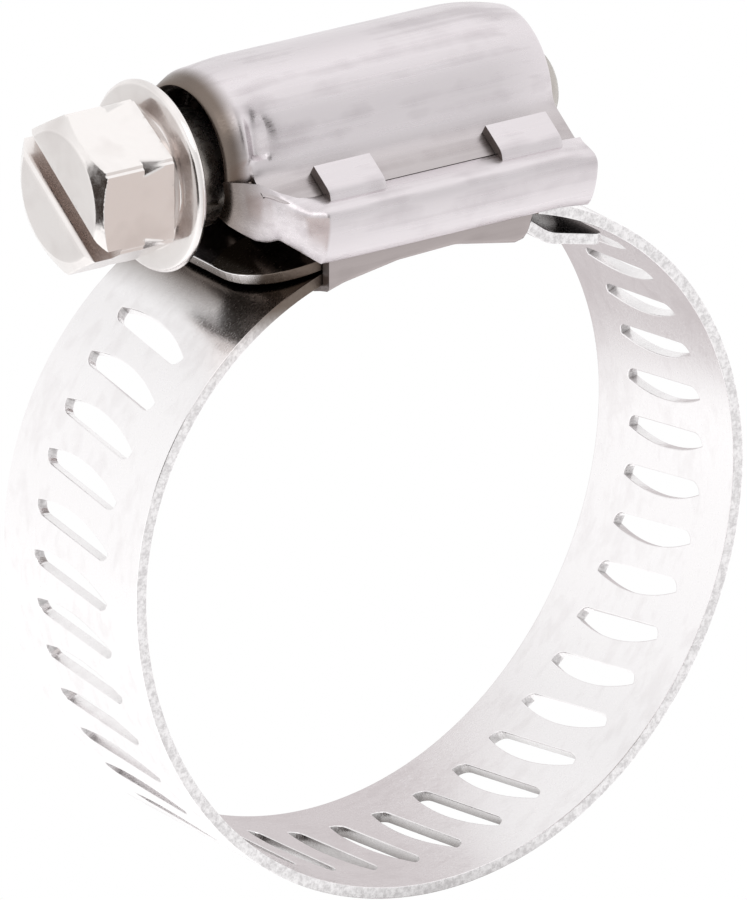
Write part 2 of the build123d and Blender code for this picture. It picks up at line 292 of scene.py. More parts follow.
def steel(
    name,
    colour,
    tint,
    rough,
    along,
    grain_depth,
    sheared=0,
    ends=0,
    dusk=0.9,
    shade=DUSK,
    painted_shades=(),
):
    """Stainless steel: rolling or drawing grain along one axis, faint blotches and painted shade.

    `along` scales the grain's coordinates: small along the grain and large across it. `sheared`
    roughens faces that look along the hose's axis, as the cut edges of the strip do; `ends`
    darkens faces that look along the screw, as painted shade. Hollows go towards the colour
    `shade`, by `dusk`, as painted shade. Each painted shade by place is an axis, the place
    in the frame's mm where it is full, the place where it ends, and its strength.
    """
    nodes = Nodes(name)
    place = nodes.add("ShaderNodeTexCoord")
    lines = nodes.noise(nodes.stretched(place, along), 1.0, 4.0, 0.6)
    patches = nodes.noise(nodes.stretched(place, (1, 1, 1)), PATCH_SCALE, 3.0)
    fine = nodes.noise(nodes.stretched(place, (1, 1, 1)), FINE_SCALE, 2.0)
    ragged = nodes.noise(nodes.stretched(place, (1, 0.35, 1)), TORN_SCALE, 4.0, 0.7)

    normal = nodes.add("ShaderNodeSeparateXYZ")
    nodes.link(place, "Normal", normal, 0)
    sideways = nodes.maths("ABSOLUTE", (normal, "Y"), 0)
    edge = nodes.ramp(sideways, 0, ((0.72, 0.0), (0.86, 1.0)))
    edge = nodes.maths("MULTIPLY", (edge, "Color"), sheared)

    coarse = [scale / BROAD_SHARE for scale in along]
    broad = nodes.noise(nodes.stretched(place, coarse), 1.0, 2.0)
    cloud = nodes.maths("ADD", (patches, "Fac"), (broad, "Fac"))
    base = nodes.mixed(nodes.ramp(cloud, 0, ((0.75, 0.0), (1.2, 1.0))), 0, colour, tint)
    torn = nodes.mixed(nodes.ramp(ragged, "Fac", ((0.38, 0.0), (0.6, 1.0))), 0, EDGE_DARK, tint)
    surface = nodes.mixed(edge, 0, (base, "Result"), (torn, "Result"))

    # painted shade: faces that look along the screw go towards END_DARK, by `ends`
    endways = nodes.maths("ABSOLUTE", (normal, "X"), 0)
    cut = nodes.ramp(endways, 0, ((0.86, 0.0), (0.97, 1.0)))
    cut = nodes.maths("MULTIPLY", (cut, "Color"), ends)
    surface = nodes.mixed(cut, 0, (surface, "Result"), END_DARK)

    # painted shade: each entry darkens the colour by place along one axis
    position = nodes.add("ShaderNodeSeparateXYZ")
    nodes.link(place, "Object", position, 0)
    for axis, full, clear, strength in painted_shades:
        share = nodes.add("ShaderNodeMapRange", interpolation_type="SMOOTHSTEP")
        share.inputs["From Min"].default_value = clear * MM
        share.inputs["From Max"].default_value = full * MM
        nodes.link(position, axis, share, "Value")
        share = nodes.maths("MULTIPLY", (share, 0), strength)
        surface = nodes.mixed(share, 0, (surface, "Result"), PAINTED_SHADE_TONE)

    # painted shade: ambient occlusion darkens hollows, creases and gaps towards `shade`
    hollow = nodes.add("ShaderNodeAmbientOcclusion", samples=6, Distance=HOLLOW_REACH)
    open_to_light = nodes.ramp(hollow, "AO", ((0.2, 0.0), (0.66, 1.0)))
    deep = nodes.maths("SUBTRACT", 1.0, (open_to_light, "Color"))
    deep = nodes.maths("MULTIPLY", (deep, 0), dusk)
    final_colour = nodes.mixed(deep, 0, (surface, "Result"), shade)

    streak = nodes.ramp(lines, "Fac", ((0.3, max(0.0, rough - 0.06)), (0.72, rough + 0.09)))
    spread = nodes.maths("MULTIPLY", (patches, "Fac"), 0.1)
    total = nodes.maths("ADD", (streak, "Color"), (spread, 0))
    total = nodes.maths("ADD", (total, 0), (nodes.maths("MULTIPLY", (edge, 0), 0.2), 0))

    relief = nodes.maths("ADD", (lines, "Fac"), (fine, "Fac"))
    bump = nodes.add("ShaderNodeBump", Strength=grain_depth, Distance=GRAIN_HEIGHT)
    nodes.link(relief, 0, bump, "Height")
    rough_edge = nodes.add("ShaderNodeBump", Distance=TORN_HEIGHT)
    nodes.link(edge, 0, rough_edge, "Strength")
    nodes.link(ragged, "Fac", rough_edge, "Height")
    nodes.link(bump, "Normal", rough_edge, "Normal")

    shader = nodes.add("ShaderNodeBsdfPrincipled", Metallic=1.0)
    result = nodes.colour_output(final_colour, "Result")
    nodes.tree.links.new(result, shader.inputs["Base Color"])
    nodes.link(total, 0, shader, "Roughness")
    nodes.link(rough_edge, "Normal", shader, "Normal")
    return nodes.finish(shader, "BSDF")


HOUSING_LOOK = {
    "colour": (0.61, 0.565, 0.585),
    "tint": (0.73, 0.685, 0.705),
    "rough": 0.25,
    "along": (90, 9000, 9000),
    "grain_depth": 0.10,
    # painted shade: faces that look along the screw, such as the tabs' ends, go nearly black
    "ends": 0.95,
}
# painted shade: the skirts darken towards their front ends, by the collar
HOUSING = steel("housing steel", **HOUSING_LOOK, painted_shades=(("X", -12.4, -10.3, 0.8),))
# painted shade: the cap darkens at its front collar, and on its flanges and lower barrel, fading out
# above the barrel's middle
CAP_PAINTED_SHADES = (("X", -12.0, -10.9, 0.93), ("Z", 23.1, 24.7, 0.34))
CAP = steel("cap steel", **HOUSING_LOOK, painted_shades=CAP_PAINTED_SHADES)
# painted shade: a darker copy of the housing steel, for the plate and its walls under the skirts
SHADED_HOUSING = steel(
    "housing steel in painted shade",
    colour=(0.39, 0.345, 0.34),
    tint=(0.45, 0.40, 0.395),
    rough=0.3,
    along=(90, 9000, 9000),
    grain_depth=0.10,
    ends=0.6,
)
BAND_LOOK = {
    "colour": (0.91, 0.885, 0.89),
    "tint": (0.96, 0.94, 0.945),
    "rough": 0.16,
    "along": (5000, 9000, 5000),
    "grain_depth": 0.05,
    "sheared": 1.0,
}
BAND = steel("band steel", **BAND_LOOK)
# painted shade: the tail darkens where it runs in under the housing
TAIL = steel("band tail steel", **BAND_LOOK, painted_shades=(("X", -10.3, -10.9, 0.95),))
# painted shade: the fixed end darkens near its top, where it runs under the screw's head and into
# the housing
FIXED = steel("band fixed steel", **BAND_LOOK, painted_shades=(("Z", 17.0, 15.1, 0.95),))
SCREW = steel(
    "screw steel",
    colour=(0.78, 0.74, 0.725),
    tint=(0.85, 0.815, 0.80),
    rough=0.12,
    along=(2500, 2500, 2500),
    grain_depth=0.04,
    # painted shade: faces that look along the screw darken a little, and hollows such as the driver
    # slot go towards a tan shade
    ends=0.2,
    dusk=0.7,
    shade=(0.42, 0.345, 0.31),
)
# painted shade: a dark copy of the screw steel for the neck and tip sleeves, which sit in gaps
NECK_SHADE_STEEL = steel(
    "neck steel in painted shade",
    colour=(0.34, 0.31, 0.29),
    tint=(0.42, 0.39, 0.365),
    rough=0.2,
    along=(2500, 2500, 2500),
    grain_depth=0.04,
    dusk=0.15,
)


# ---- the band --------------------------------------------------------------------------------


class Arc:
    """A stretch of the middle line, travelled clockwise from angle `start` to `end`."""

    def __init__(self, x, z, radius, start, end):
        self.x, self.z, self.radius, self.start, self.end = x, z, radius, start, end
        self.length = radius * radians(start - end)


def band_path():
    """The arcs from the tail tip, round the ring clockwise, to the root of the tongue."""
    guide_z = SLIDING_TOP_Z - BAND_T / 2 - GUIDE_R
    fixed_r = GUIDE_R - BAND_T - LAYER_GAP
    foot_r = BOTTOM_BORE_R + BAND_T / 2
    foot_z = BOTTOM_Z + BOTTOM_BORE_R
    out, down = sin(radians(BOTTOM_HALF_ANGLE)), cos(radians(BOTTOM_HALF_ANGLE))
    side_r = (RING_HALF_WIDTH - foot_r * out) / (1 - out)
    side_x = RING_HALF_WIDTH - side_r
    side_z = foot_z + (side_r - foot_r) * down
    rise = side_z - guide_z

    def shoulder(guide_r):
        top = guide_r**2 - RING_HALF_WIDTH**2 - rise**2
        radius = top / (2 * (guide_r - RING_HALF_WIDTH))
        offset = RING_HALF_WIDTH - radius
        return radius, offset, degrees(atan2(rise, offset))

    right_r, right_x, right_meet = shoulder(GUIDE_R)
    left_r, left_x, left_meet = shoulder(fixed_r)
    tail = degrees(acos(TAIL_TIP_X / GUIDE_R))
    tongue = degrees(acos(TONGUE_START_X / fixed_r))
    foot_end = BOTTOM_HALF_ANGLE - 90
    return [
        Arc(0, guide_z, GUIDE_R, tail, right_meet),
        Arc(right_x, side_z, right_r, right_meet, 0),
        Arc(side_x, side_z, side_r, 0, foot_end),
        Arc(0, foot_z, foot_r, foot_end, -180 - foot_end),
        Arc(-side_x, side_z, side_r, -180 - foot_end, -180),
        Arc(-left_x, side_z, left_r, -180, -180 - left_meet),
        Arc(0, guide_z, fixed_r, -180 - left_meet, tongue - 360),
    ]


PATH = band_path()
PATH_LENGTH = sum(arc.length for arc in PATH)


def place(distance):
    """Point (x, z) on the middle line and the outward direction there."""
    left = distance
    for arc in PATH:
        if left <= arc.length or arc is PATH[-1]:
            break
        left -= arc.length
    angle = radians(arc.start) - left / arc.radius
    out = (cos(angle), sin(angle))
    return (arc.x + arc.radius * out[0], arc.z + arc.radius * out[1]), out


def distance_of(point):
    """How far along the middle line a point of the frame lies."""
    x, z = point[0] / MM, point[2] / MM - DATUM_Z

    def miss(distance):
        at = place(distance)[0]
        return (at[0] - x) ** 2 + (at[1] - z) ** 2

    step = 0.25
    best = min((i * step for i in range(int(PATH_LENGTH / step))), key=miss)
    while step > 1e-4:
        step /= 2
        best = min((best - step, best, best + step), key=miss)
    return best


NOSE_STEPS = 6
BELLY_STEPS = 18


def slot_outline(centre):
    """Points of one slot in distance along the band and place across it: a D with round ends."""
    half, straight, x = SLOT_LENGTH / 2, SLOT_STRAIGHT / 2, SLOT_WIDTH / 2
    nose = half - straight
    quarter = [radians(90 * i / NOSE_STEPS) for i in range(NOSE_STEPS + 1)]
    upper = [(nose * (1 - cos(t)) - x, straight + nose * sin(t)) for t in quarter]
    sagitta = 2 * x - nose
    radius = (half**2 + sagitta**2) / (2 * sagitta)
    belly = [half - 2 * half * i / BELLY_STEPS for i in range(1, BELLY_STEPS)]
    points = [(a, -b) for a, b in upper[::-1]] + upper
    points += [(x - radius + sqrt(radius**2 - y**2), y) for y in belly]
    turn = radians(SLOT_SLANT)
    return [
        (centre + a * cos(turn) + b * sin(turn), b * cos(turn) - a * sin(turn)) for a, b in points
    ]


def soften(points, radius, corners, steps):
    """Round the corners of a closed outline that have these numbers."""
    result = []
    for i, point in enumerate(points):
        if i not in corners:
            result.append(point)
            continue
        before, after = Vector(points[i - 1]), Vector(points[(i + 1) % len(points)])
        corner = Vector(point)
        reach = min(radius, 0.45 * (before - corner).length, 0.45 * (after - corner).length)
        start = corner + (before - corner).normalized() * reach
        end = corner + (after - corner).normalized() * reach
        for step in range(steps + 1):
            t = step / steps
            result.append(tuple(start.lerp(corner, t).lerp(corner.lerp(end, t), t)))
    return result


def flat_strip(name, outline, slots, rounding):
    """A flat piece of strip with holes and rounded edges, as a mesh in millimetres."""
    curve = bpy.data.curves.new(name, "CURVE")
    curve.dimensions = "2D"
    curve.fill_mode = "BOTH"
    curve.extrude = BAND_T / 2 - rounding
    curve.bevel_depth = rounding
    curve.bevel_resolution = 1
    curve.offset = -rounding
    for points in [outline] + slots:
        spline = curve.splines.new("POLY")
        spline.points.add(len(points) - 1)
        for control, (x, y) in zip(spline.points, points):
            control.co = (x, y, 0, 1)
        spline.use_cyclic_u = True
    holder = bpy.data.objects.new(name, curve)
    bpy.context.scene.collection.objects.link(holder)
    bpy.context.view_layer.update()
    graph = bpy.context.evaluated_depsgraph_get()
    mesh = bpy.data.meshes.new_from_object(holder.evaluated_get(graph))
    bpy.data.objects.remove(holder)
    bpy.data.curves.remove(curve)
    return mesh


MERGE = 1e-5
BEND_STEP = 0.35
TONGUE_STEP = 0.2


def bend(mesh, low, high, step, mapping, trim):
    """Cut a flat plate across at even steps, then lay it along a path.

    `trim` names ends, -1 for the low one and 1 for the high one, that are first cut off square.
    Each corner is shaded by the plate's own flat facing, turned with the path.
    """
    axes = axes_along(mapping)
    shape = bmesh.new()
    shape.from_mesh(mesh)
    bmesh.ops.remove_doubles(shape, verts=shape.verts, dist=MERGE)
    for end in trim:
        everything = shape.verts[:] + shape.edges[:] + shape.faces[:]
        made = bmesh.ops.bisect_plane(
            shape,
            geom=everything,
            dist=MERGE,
            plane_co=(high if end > 0 else low, 0, 0),
            plane_no=(end, 0, 0),
            clear_outer=True,
        )["geom_cut"]
        bmesh.ops.holes_fill(shape, edges=[e for e in made if isinstance(e, bmesh.types.BMEdge)])
    count = max(1, ceil((high - low) / step))
    for i in range(1, count):
        x = low + (high - low) * i / count
        everything = shape.verts[:] + shape.edges[:] + shape.faces[:]
        bmesh.ops.bisect_plane(
            shape, geom=everything, dist=MERGE, plane_co=(x, 0, 0), plane_no=(1, 0, 0)
        )
    bmesh.ops.recalc_face_normals(shape, faces=shape.faces)
    shading = []
    for face in shape.faces:
        for loop in face.loops:
            along, across_it, out = axes(loop.vert.co.x)
            lean = face.normal
            shading.append(along * lean.x + across_it * lean.y + out * lean.z)
    for vertex in shape.verts:
        vertex.co = spot(*mapping(*vertex.co))
    for face in shape.faces:
        face.smooth = True
    shape.to_mesh(mesh)
    shape.free()
    mesh.normals_split_custom_set(shading)


def axes_along(mapping):
    """The directions along, across and out of a strip at a distance along its path."""

    def axes(distance):
        reach = 0.02
        before, after = (Vector(mapping(distance + d, 0, 0)) for d in (-reach, reach))
        along = (after - before).normalized()
        return along, Vector((0, 1, 0)), Vector((-along.z, 0, along.x))

    return axes


def along_band(distance, y, height):
    """A point of the flat strip, laid on the band's path, or straight on before its start."""
    (x, z), out = place(distance)
    if distance < 0:
        x, z = x + distance * out[1], z - distance * out[0]
    return (x + height * out[0], y, z + height * out[1])


def band_edges():
    """Distances of the band's cuts: the first hinge, then whole slot pitches on from it."""
    pins = [j["pos_m"] for j in frame["joints"] if j["name"].startswith("band_bend")]
    edges = [min(distance_of(pin) for pin in pins)]
    for count in LENGTH_PITCHES:
        edges.append(edges[-1] + count * PITCH)
    return edges


def slot_centres(first_cut):
    """Distances of the slots: a half pitch from the first cut, then whole pitches both ways."""
    centres = []
    centre = first_cut - PITCH / 2
    while centre > TAIL_MARGIN:
        centres.append(centre)
        centre -= PITCH
    centre = first_cut + PITCH / 2
    while centre < PATH_LENGTH and ring_angle(centre) > FIRST_SLOT_ANGLE - 1:
        centres.append(centre)
        centre += PITCH
    return centres


def build_band():
    """The strip, parted where it hinges: each length ends square and flush with the next."""
    edges = band_edges()
    low_corner, high_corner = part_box("band_length_01")
    half = (high_corner.y - low_corner.y) / MM / 2
    slots = slot_centres(edges[0])

    def piece(name, node, body, low, high, material, outline=None):
        """One piece of strip between two distances, the tail if it has an outline of its own."""
        trim = (1,) if outline else (-1, 1)
        start, end = low - OPEN_END, high + OPEN_END
        outline = outline or [(start, -half), (start, half), (end, half), (end, -half)]
        holes = [slot_outline(s) for s in slots if low < s < high]
        flat = flat_strip(name, outline, holes, 0.05)
        bend(flat, low, high, BEND_STEP, along_band, trim)
        new_object(name, flat, body, material, (node,))

    outline = tail_outline(edges[0] + OPEN_END, half)
    piece("band_tail_strip", "band_tail", "band_tail", 0, edges[0], TAIL, outline)
    for number, ends in enumerate(zip(edges, edges[1:]), 1):
        node = f"band_length_{number:02d}"
        piece(f"band_strip_{number:02d}", node, node, *ends, BAND)
    ends = (edges[-1], PATH_LENGTH)
    piece("band_fixed_strip", "band_fixed_end", "housing", *ends, FIXED)
    build_tongue(half)


def ring_angle(distance):
    """Angle round the ring from +X, or a large one before the ring's left side."""
    x, z = place(distance)[0]
    angle = degrees(atan2(z, x)) % 360
    return angle if distance > PATH_LENGTH / 2 else 1000


# the tongue's path from its root: a bend's radius and angle, or none and a straight length
TONGUE_RUNS = (
    (TONGUE_BEND_R, -TONGUE_DIP),
    (None, TONGUE_DROP),
    (TONGUE_BEND_R, TONGUE_RISE),
    (None, TONGUE_REST),
)
TONGUE_PATH_STEP = 0.1


def build_tongue(half):
    """The fixed layer's end, dipping out of the housing to lie along the band."""
    (x, z), out = place(PATH_LENGTH)
    heading = atan2(-out[0], out[1])
    spots = [(x, z, heading)]
    for radius, amount in TONGUE_RUNS:
        run = amount if radius is None else radius * radians(abs(amount))
        count = ceil(run / TONGUE_PATH_STEP)
        turn = 0 if radius is None else radians(amount) / count
        for _ in range(count):
            x, z, heading = spots[-1]
            middle = heading + turn / 2
            stride = run / count
            spots.append((x + stride * cos(middle), z + stride * sin(middle), heading + turn))
    length = sum(
        sqrt((b[0] - a[0]) ** 2 + (b[1] - a[1]) ** 2) for a, b in zip(spots, spots[1:])
    )

    def lay(distance, y, height):
        at = min(max(distance / length * (len(spots) - 1), 0), len(spots) - 1.001)
        a, b = spots[int(at)], spots[int(at) + 1]
        x, z, heading = mix(a, b, at - int(at))
        return (x - height * sin(heading), y, z + height * cos(heading))

    outline = [(-OPEN_END, -half), (-OPEN_END, half), (length, half), (length, -half)]
    outline = soften(outline, TONGUE_CORNER_R, {2, 3}, 8)
    flat = flat_strip("tongue_strip", outline, [], 0.08)
    bend(flat, 0, length, TONGUE_STEP, lay, (-1,))
    new_object("tongue_strip", flat, "band_tongue", BAND, ("band_tongue",))


def tail_outline(high, half):
    """The tail's outline: an end with two wide round corners."""
    radius = TAIL_CORNER_R
    steps = 14
    quarter = [radians(90 * i / steps) for i in range(steps + 1)]
    near = [(radius - radius * sin(t), -half + radius - radius * cos(t)) for t in quarter]
    far = [(radius - radius * cos(t), half - radius + radius * sin(t)) for t in quarter]
    return [(high, -half)] + near + far + [(high, half)]


# ---- the cap ---------------------------------------------------------------------------------

BARREL_R = 4.65
BARREL_Z = 23.2
CAP_FRONT_X = -12.45
CAP_BACK_X = 8.7
COLLAR_X = -11.2  # the collar's highest ring, from which it curls in towards the front
COLLAR_CURL = 0.55
COLLAR_RISE = 0.16
COLLAR_TOP = 62  # degrees up from the flange where the raised ring has faded
CURL_LENGTH = 1.26
DROOP_X = 4.6
DROOP = 0.55
DENT_X = -10.45
DENT_DEPTH = 0.55
DENT_ANGLE = 14  # degrees up from the flange
FLANGE_EDGE_Y = 6.5
FLANGE_SLOPE = radians(35)
FLANGE_FRONT_X = -11.1  # the flange starts here and has its full reach at FLANGE_FULL_X
FLANGE_FULL_X = -9.9
CORNER_REACH = 0.55  # the bend between flange and barrel starts this far out
BARREL_LIFT = radians(10)  # and ends this far up the barrel
CORNER_STEPS = 7
BARREL_STEPS = 26


def barrel_radius(x):
    """The barrel narrows to its front collar, curls in round the neck and droops at the back."""
    radius = BARREL_R - 0.15 * (1 - smoothstep(COLLAR_X, -8.6, x))
    curl = clamped((COLLAR_X - x) / CURL_LENGTH)
    radius -= COLLAR_CURL * (1 - sqrt(1 - curl**2))
    return radius - DROOP * max(0.0, (x - DROOP_X) / (CAP_BACK_X - DROOP_X)) ** 2


def cap_section(x):
    """Outer face of the cap at one X, from the edge of the +Y flange to the top."""
    radius = barrel_radius(x)
    centre_z = BARREL_Z - 0.3 * (1 - smoothstep(CAP_FRONT_X, -10.3, x))
    centre_z -= 0.1 * max(0.0, (x - 5) / 3.7) ** 2
    corner = (radius + 0.02, centre_z - 0.05)
    reach = FLANGE_EDGE_Y - corner[0]
    spread = 0.0
    if x >= FLANGE_FRONT_X:
        spread = 0.55 + 0.45 * smoothstep(FLANGE_FRONT_X, FLANGE_FULL_X, x)
    edge_y = corner[0] + reach * spread
    edge_z = corner[1] - mix((0.35,), (reach * tan(FLANGE_SLOPE),), spread)[0]
    length = sqrt((edge_y - corner[0]) ** 2 + (edge_z - corner[1]) ** 2)
    share = 1 - min(CORNER_REACH / length, 0.6)
    turn = mix((edge_y, edge_z), corner, share)
    ahead = (radius * cos(BARREL_LIFT), centre_z + radius * sin(BARREL_LIFT))
    shares = [i / CORNER_STEPS for i in range(CORNER_STEPS)]
    points = [mix((edge_y, edge_z), turn, t) for t in shares]
    points += [mix(mix(turn, corner, t), mix(corner, ahead, t), t) for t in shares]
    for i in range(BARREL_STEPS + 1):
        angle = BARREL_LIFT + (pi / 2 - BARREL_LIFT) * i / BARREL_STEPS
        dent = DENT_DEPTH * bell(x, DENT_X, 0.55) * bell(degrees(angle), DENT_ANGLE, 24)
        crest = COLLAR_RISE * bell(x, COLLAR_X, 0.4) * exp(-((degrees(angle) / COLLAR_TOP) ** 4))
        r = radius - dent + crest
        points.append((r * cos(angle), centre_z + r * sin(angle)))
    return points


def stations(low, high, step, dense=()):
    """Even places from low to high, with finer ones inside each dense span."""
    count = ceil((high - low) / step)
    places = [low + (high - low) * i / count for i in range(count + 1)]
    for start, end, fine in dense:
        count = ceil((end - start) / fine)
        places = [x for x in places if not start < x < end]
        places += [start + (end - start) * i / count for i in range(count + 1)]
    return sorted(set(round(x, 5) for x in places))


def sheet(name, rows, thickness, rounding, node="saddle", material=HOUSING):
    """A sheet of even thickness under the outer face given by rows of points."""
    mesh = grid_mesh(name, rows)
    smooth(mesh, 60)
    piece = new_object(name, mesh, "housing", material, (node,))
    shell = piece.modifiers.new("sheet", "SOLIDIFY")
    shell.thickness = thickness * MM
    shell.offset = -1
    shell.use_even_offset = True
    shell.use_quality_normals = True
    bevelled(piece, rounding, 3, 50)
    weighted(piece)


def build_cap():
    dense = ((CAP_FRONT_X, -9.8, 0.08), (7.6, CAP_BACK_X, 0.12))
    rows = []
    for x in stations(CAP_FRONT_X, CAP_BACK_X, 0.3, dense):
        right = cap_section(x)
        rows.append([(x, y, z) for y, z in right] + [(x, -y, z) for y, z in right[-2::-1]])
    sheet("cap_shell", rows, 0.58, 0.09, "cap", CAP)


# ---- the saddle ------------------------------------------------------------------------------

# outer face of the skirt from its foot to its top: distance out from its chord and share up it
SKIRT_SHAPE = (
    (0.00, 0.00),
    (0.42, 0.10),
    (0.80, 0.25),
    (1.10, 0.42),
    (1.30, 0.58),
    (1.36, 0.70),
    (1.22, 0.80),
    (0.86, 0.88),
    (0.42, 0.945),
    (0.00, 1.00),
)
# the skirt's run from front to back: X, foot (Y, Z), top (Y, Z), the size of its bulge, and how
# far the bulge has gone from a plain half wave to the shape above
SKIRT_RUN = (
    (-12.5, (3.55, 20.70), (3.95, 22.80), 0.30, 0.0),
    (-12.3, (4.10, 20.35), (4.40, 22.85), 0.32, 0.0),
    (-11.8, (4.55, 19.95), (4.85, 22.85), 0.38, 0.0),
    (-11.1, (4.95, 19.48), (5.20, 22.75), 0.45, 0.0),
    (-10.6, (5.35, 19.40), (5.60, 22.50), 0.50, 0.1),
    (-10.2, (5.90, 19.62), (5.95, 22.30), 0.55, 0.3),
    (-9.4, (6.75, 19.00), (6.45, 22.00), 0.72, 0.7),
    (-8.5, (7.30, 18.34), (6.60, 21.90), 0.97, 1.0),
    (-7.0, (7.34, 18.32), (6.58, 21.86), 1.00, 1.0),
    (7.0, (7.34, 18.32), (6.58, 21.86), 1.00, 1.0),
    (8.8, (7.30, 18.10), (6.74, 21.74), 0.96, 1.0),
)
SKIRT_FRONT_X = SKIRT_RUN[0][0]
SKIRT_BACK_X = SKIRT_RUN[-1][0]
SKIRT_STEPS = 24


def between(table, x):
    """The rows of a table before and after an X, and the share of the way between them."""
    for before, after in zip(table, table[1:]):
        if x <= after[0]:
            break
    return before, after, clamped((x - before[0]) / (after[0] - before[0]))


def run_at(x):
    """The skirt's foot, top, bulge and share at one X."""
    before, after, t = between(SKIRT_RUN, x)
    foot, top = mix(before[1], after[1], t), mix(before[2], after[2], t)
    bulge, share = mix((before[3], before[4]), (after[3], after[4]), t)
    return foot, top, bulge, share


def curve_at(points, t):
    """A smooth curve through evenly numbered points (Catmull-Rom)."""
    at = clamped(t) * (len(points) - 1)
    i = min(int(at), len(points) - 2)
    u = at - i
    p = [points[min(max(i + k, 0), len(points) - 1)] for k in (-1, 0, 1, 2)]
    return tuple(
        0.5
        * (
            2 * p[1][k]
            + (p[2][k] - p[0][k]) * u
            + (2 * p[0][k] - 5 * p[1][k] + 4 * p[2][k] - p[3][k]) * u**2
            + (3 * p[1][k] - p[0][k] - 3 * p[2][k] + p[3][k]) * u**3
        )
        for k in range(len(p[1]))
    )


def skirt_section(x, side):
    """Outer face of one skirt at one X, foot to top, as points of the frame."""
    foot, top, bulge, share = run_at(x)
    chord = Vector((top[0] - foot[0], top[1] - foot[1]))
    outward = Vector((chord.y, -chord.x)).normalized()
    points = []
    for i in range(SKIRT_STEPS + 1):
        t = i / SKIRT_STEPS
        out, up = mix((sin(pi * t), t), curve_at(SKIRT_SHAPE, t), share)
        dent = 0.35 * bell(x, 8.7, 0.9) * bell(t, 0.86, 0.16)  # at the back end, near the top
        at = Vector(foot) + chord * up + outward * (out * bulge - dent)
        points.append((x, side * at.x, at.y))
    return points


TAB_SPANS = ((-7.8, -4.2), (3.3, 7.2))
TAB_STEPS = 26
# a tab's outer face, from inside the skirt, up and over it, and down to the flange
TAB_SHAPE = (
    (7.80, 21.30),
    (7.45, 21.42),
    (7.27, 21.58),
    (7.20, 21.80),
    (7.14, 22.04),
    (6.98, 22.27),
    (6.68, 22.49),
    (6.20, 22.82),
    (5.60, 23.22),
)


def build_skirts():
    dense = ((SKIRT_FRONT_X, -8.0, 0.12), (7.2, SKIRT_BACK_X, 0.15))
    places = stations(SKIRT_FRONT_X, SKIRT_BACK_X, 0.4, dense)
    for side, word in ((-1, "front"), (1, "back")):
        rows = [skirt_section(x, side) for x in places]
        if side < 0:
            rows = [row[::-1] for row in rows]
        sheet(f"saddle_skirt_{word}", rows, 0.56, 0.08)
        for number, (start, end) in enumerate(TAB_SPANS, 1):
            rows = []
            for x in stations(start, end, 0.3):
                points = [curve_at(TAB_SHAPE, i / TAB_STEPS) for i in range(TAB_STEPS + 1)]
                rows.append([(x, side * y, z) for y, z in points[::side]])
            sheet(f"saddle_tab_{word}_{number}", rows, 0.58, 0.12)


# the lower edge of the saddle's side wall, from front to back: X and Z
WALL_EDGE = (
    (-7.9, 16.42),
    (-6.75, 16.75),
    (-3.24, 17.30),
    (0.49, 17.42),
    (4.34, 16.70),
    (5.0, 16.85),
    (5.4, 17.9),
)
WALL_Y = 7.05
WALL_CORNER_R = 0.32
PLATE_Y = 6.45
PLATE_FRONT_X = -7.8
PLATE_BACK_X = 5.35
PLATE_FOOT_Z = 17.3  # the plate's underside follows the hose's round, up to this height
STRAIGHT_X = 3.5  # and runs straight on in front of minus this X
PLATE_LEAST_T = 0.12


def build_plate():
    """The plate under the band, turned up into a wall along each side."""
    fixed_r = GUIDE_R - BAND_T - LAYER_GAP - BAND_T / 2
    guide_z = SLIDING_TOP_Z - BAND_T / 2 - GUIDE_R
    bore_z = PLATE_FOOT_Z - BOTTOM_BORE_R
    slope = STRAIGHT_X / sqrt(BOTTOM_BORE_R**2 - STRAIGHT_X**2)
    rows = []
    for x in stations(PLATE_FRONT_X, PLATE_BACK_X, 0.25):
        before, after, t = between(WALL_EDGE, x)
        edge = mix(before, after, t)[1]
        roof = guide_z + sqrt(fixed_r**2 - x**2) - 0.02
        flat = bore_z + sqrt(BOTTOM_BORE_R**2 - max(x, -STRAIGHT_X) ** 2)
        flat -= max(0.0, -STRAIGHT_X - x) * slope
        flat = min(flat, roof - PLATE_LEAST_T)
        right = [(0.0, flat), (3.0, flat), (5.6, flat), (6.2, mix((flat,), (edge,), 0.6)[0])]
        corner = WALL_CORNER_R
        for i in range(6):
            angle = radians(90 * i / 5)
            y = WALL_Y - corner + corner * sin(angle)
            right.append((y, edge + corner - corner * cos(angle)))
        right += [(WALL_Y, 18.0), (WALL_Y, 18.9), (WALL_Y - 0.5, 18.9), (PLATE_Y, 18.4)]
        right += [(PLATE_Y, roof + 0.1), (PLATE_Y - 0.1, roof), (3.0, roof), (0.0, roof)]
        left = [(-y, z) for y, z in right[-2:0:-1]]
        rows.append([(x, y, z) for y, z in right + left])
    mesh = grid_mesh("saddle_plate", rows, tube=True)
    close_ends(mesh, in_triangles=True)
    smooth(mesh, 40)
    weighted(new_object("saddle_plate", mesh, "housing", SHADED_HOUSING, ("saddle",)))


# ---- the screw -------------------------------------------------------------------------------

HEX_FLAT_R = 3.97
HEX_CORNER_EASE = 0.16
HEAD_END_X = -20.4
HEAD_STEPS = 360
FACE_RINGS = (1.2, 2.4, 3.1, 3.42)  # radii of the rings on the head's end face
FACE_R = 3.62  # where the end face rounds over into the chamfer
CHAMFER_START = 0.07  # from the end face
CHAMFER_SLOPE = 1.9
HEEL_X = -17.5  # from here to the washer the hexagon's corners are forged flat
HEEL_R = 4.33
HEEL_SLOPE = 0.13
HEXAGON_BACK_X = -15.5
CORE_R = 2.75
